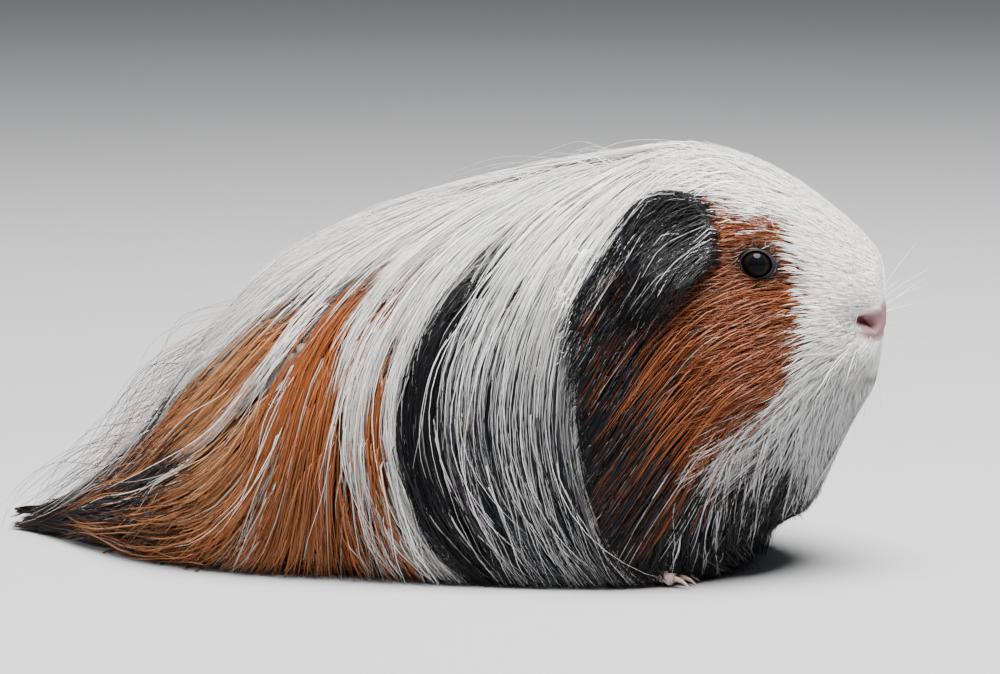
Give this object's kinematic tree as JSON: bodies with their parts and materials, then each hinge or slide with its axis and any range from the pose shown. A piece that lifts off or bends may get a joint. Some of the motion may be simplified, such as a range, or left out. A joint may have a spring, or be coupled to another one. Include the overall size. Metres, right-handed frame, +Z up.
{
  "type": "long-haired guinea pig model",
  "caption": "Life-size still model of a long-haired Sheltie guinea pig, crouched on the floor with its head up, in a white, red and black coat.",
  "frame": {"origin": "on the floor, under the middle of the bounding box", "axes": "+Z up, the nose points to -Y and the trailing coat to +Y, the animal's right side is -X"},
  "size_m": [0.1194, 0.268, 0.1228],
  "materials": {
    "white_coat": "long silky white hair",
    "red_coat": "long silky red-orange hair",
    "black_coat": "long silky black hair",
    "bare_skin": "soft bare skin of nose and feet",
    "eye_gloss": "wet, nearly black eye",
    "claw_horn": "smooth claw horn"
  },
  "bodies": {
    "root": {"head": "white_coat", "neck": "white_coat", "trunk": "white_coat", "hindquarters": "red_coat", "coat_train": "black_coat", "nose": "bare_skin", "eye_right": "eye_gloss", "eye_left": "eye_gloss", "ear_right": "black_coat", "ear_left": "black_coat", "foreleg_right": "red_coat", "foreleg_left": "red_coat", "forefoot_right": "bare_skin", "forefoot_left": "bare_skin", "foreclaw_1_right": "claw_horn", "foreclaw_1_left": "claw_horn", "foreclaw_2_right": "claw_horn", "foreclaw_2_left": "claw_horn", "foreclaw_3_right": "claw_horn", "foreclaw_3_left": "claw_horn", "foreclaw_4_right": "claw_horn", "foreclaw_4_left": "claw_horn", "hindleg_right": "red_coat", "hindleg_left": "red_coat", "hindfoot_right": "bare_skin", "hindfoot_left": "bare_skin", "hindclaw_1_right": "claw_horn", "hindclaw_1_left": "claw_horn", "hindclaw_2_right": "claw_horn", "hindclaw_2_left": "claw_horn", "hindclaw_3_right": "claw_horn", "hindclaw_3_left": "claw_horn"}
  },
  "joints": []
}
